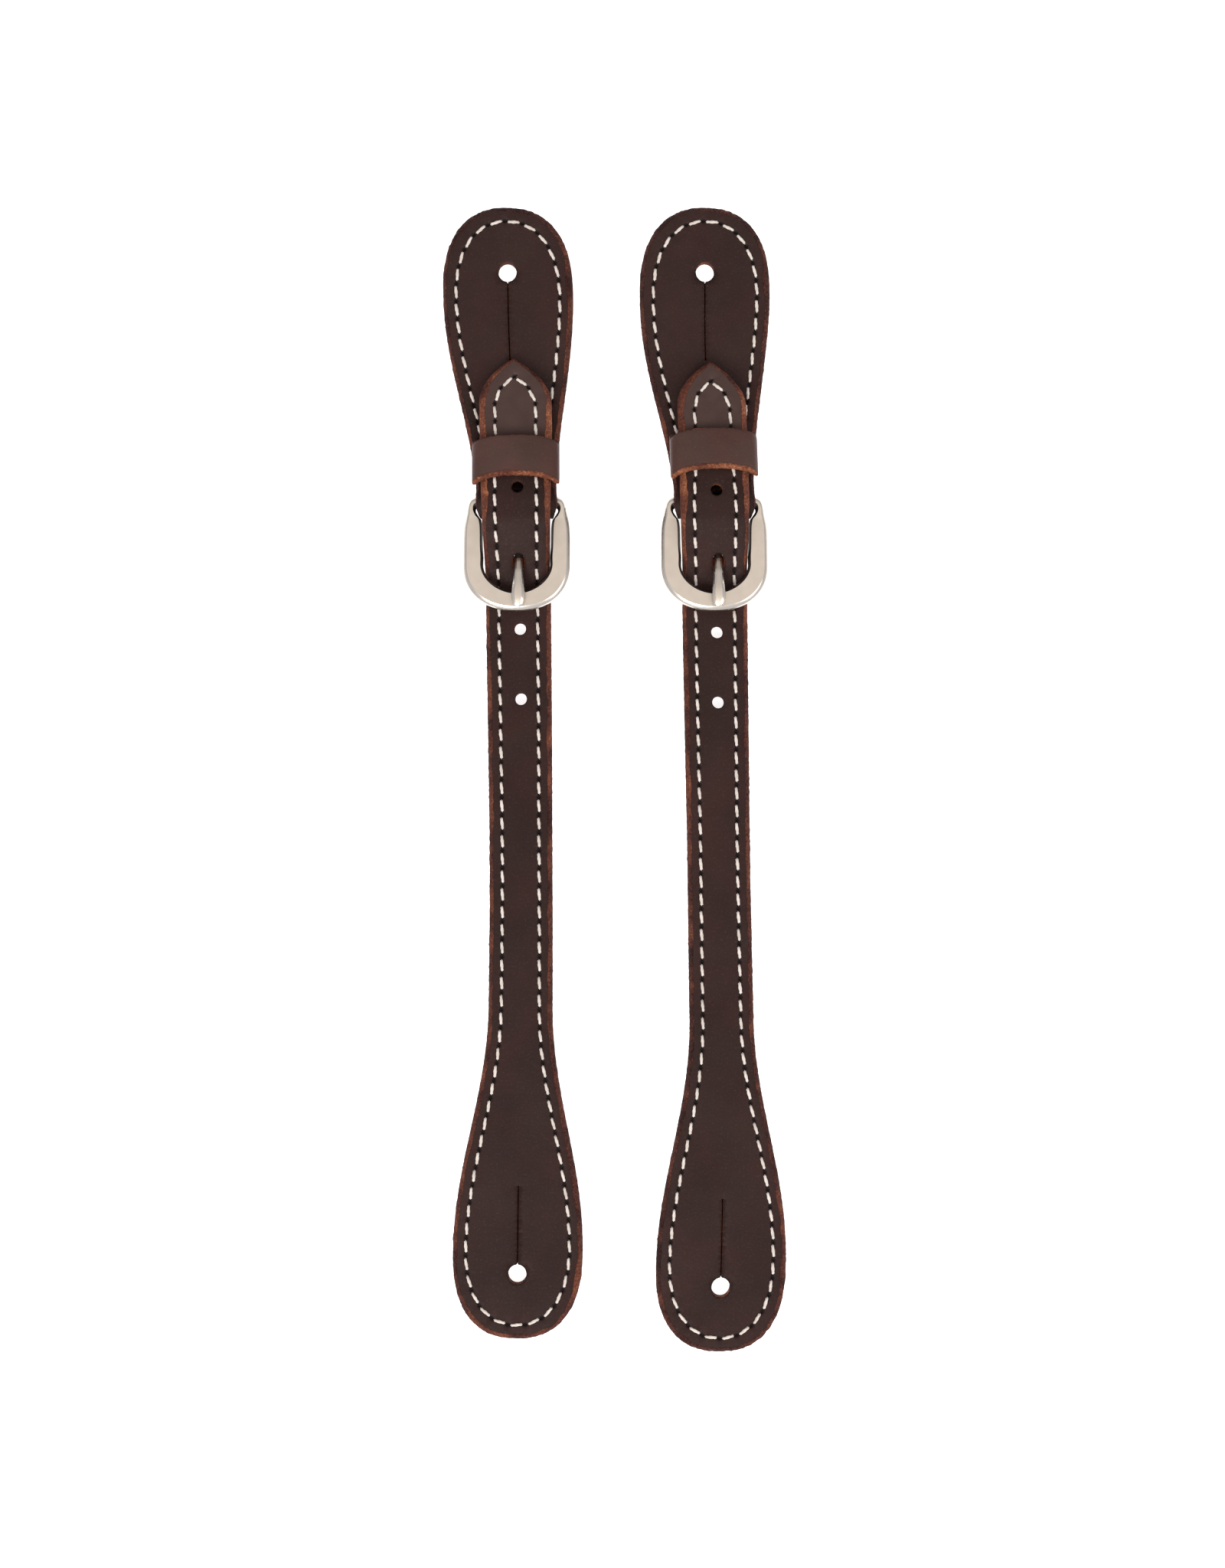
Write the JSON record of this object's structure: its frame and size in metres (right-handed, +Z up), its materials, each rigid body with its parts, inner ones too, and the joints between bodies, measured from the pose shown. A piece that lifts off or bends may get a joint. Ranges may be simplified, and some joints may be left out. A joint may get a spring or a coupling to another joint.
{
  "type": "western spur straps",
  "caption": "Pair of stitched leather spur straps, each with a horseshoe buckle and prong, a leather keeper, a long billet with a pointed tip, and wide ends with a button hole and slit.",
  "frame": {"origin": "centre of the underside of the pair's bounding box, on the surface the straps lie on", "axes": "+Z up out of the grain side, +Y along the straps towards the buckles, +X from the left strap to the right strap"},
  "size_m": [0.0844, 0.2814, 0.0126],
  "materials": {
    "strap_leather": "dark brown oiled leather, smooth grain, red-brown raw edges",
    "keeper_leather": "dark brown leather, slightly lighter, raw edges",
    "thread": "off-white waxed twisted thread",
    "satin_steel": "warm satin stainless with polished bevels"
  },
  "bodies": {
    "left_strap": {"left_buckle_strap": "strap_leather", "left_buckle_strap_needle_thread": "thread", "left_buckle_strap_bobbin_thread": "thread", "left_billet": "strap_leather", "left_billet_needle_thread": "thread", "left_billet_bobbin_thread": "thread", "left_keeper": "keeper_leather"},
    "left_buckle": {"left_buckle_frame": "satin_steel"},
    "left_prong": {"left_buckle_prong": "satin_steel"},
    "right_strap": {"right_buckle_strap": "strap_leather", "right_buckle_strap_needle_thread": "thread", "right_buckle_strap_bobbin_thread": "thread", "right_billet": "strap_leather", "right_billet_needle_thread": "thread", "right_billet_bobbin_thread": "thread", "right_keeper": "keeper_leather"},
    "right_buckle": {"right_buckle_frame": "satin_steel"},
    "right_prong": {"right_buckle_prong": "satin_steel"}
  },
  "joints": [
    {"name": "left_buckle_hinge", "type": "hinge", "parent": "left_strap", "child": "left_buckle", "pos_m": [-0.0239, 0.0678, 0.0039], "axis": [-1, 0, 0], "range_deg": [0, 1.2]},
    {"name": "left_prong_hinge", "type": "hinge", "parent": "left_buckle", "child": "left_prong", "pos_m": [-0.0239, 0.0678, 0.0039], "axis": [-1, 0, 0], "range_deg": [0, 2.5]},
    {"name": "right_strap_shift", "type": "slide", "parent": "left_strap", "child": "right_strap", "axis": [1, 0, 0], "range_m": [0, 0.1]},
    {"name": "right_buckle_hinge", "type": "hinge", "parent": "right_strap", "child": "right_buckle", "pos_m": [0.0244, 0.0678, 0.0039], "axis": [-1, 0, 0], "range_deg": [0, 1.2]},
    {"name": "right_prong_hinge", "type": "hinge", "parent": "right_buckle", "child": "right_prong", "pos_m": [0.0244, 0.0678, 0.0039], "axis": [-1, 0, 0], "range_deg": [0, 2.5]}
  ]
}
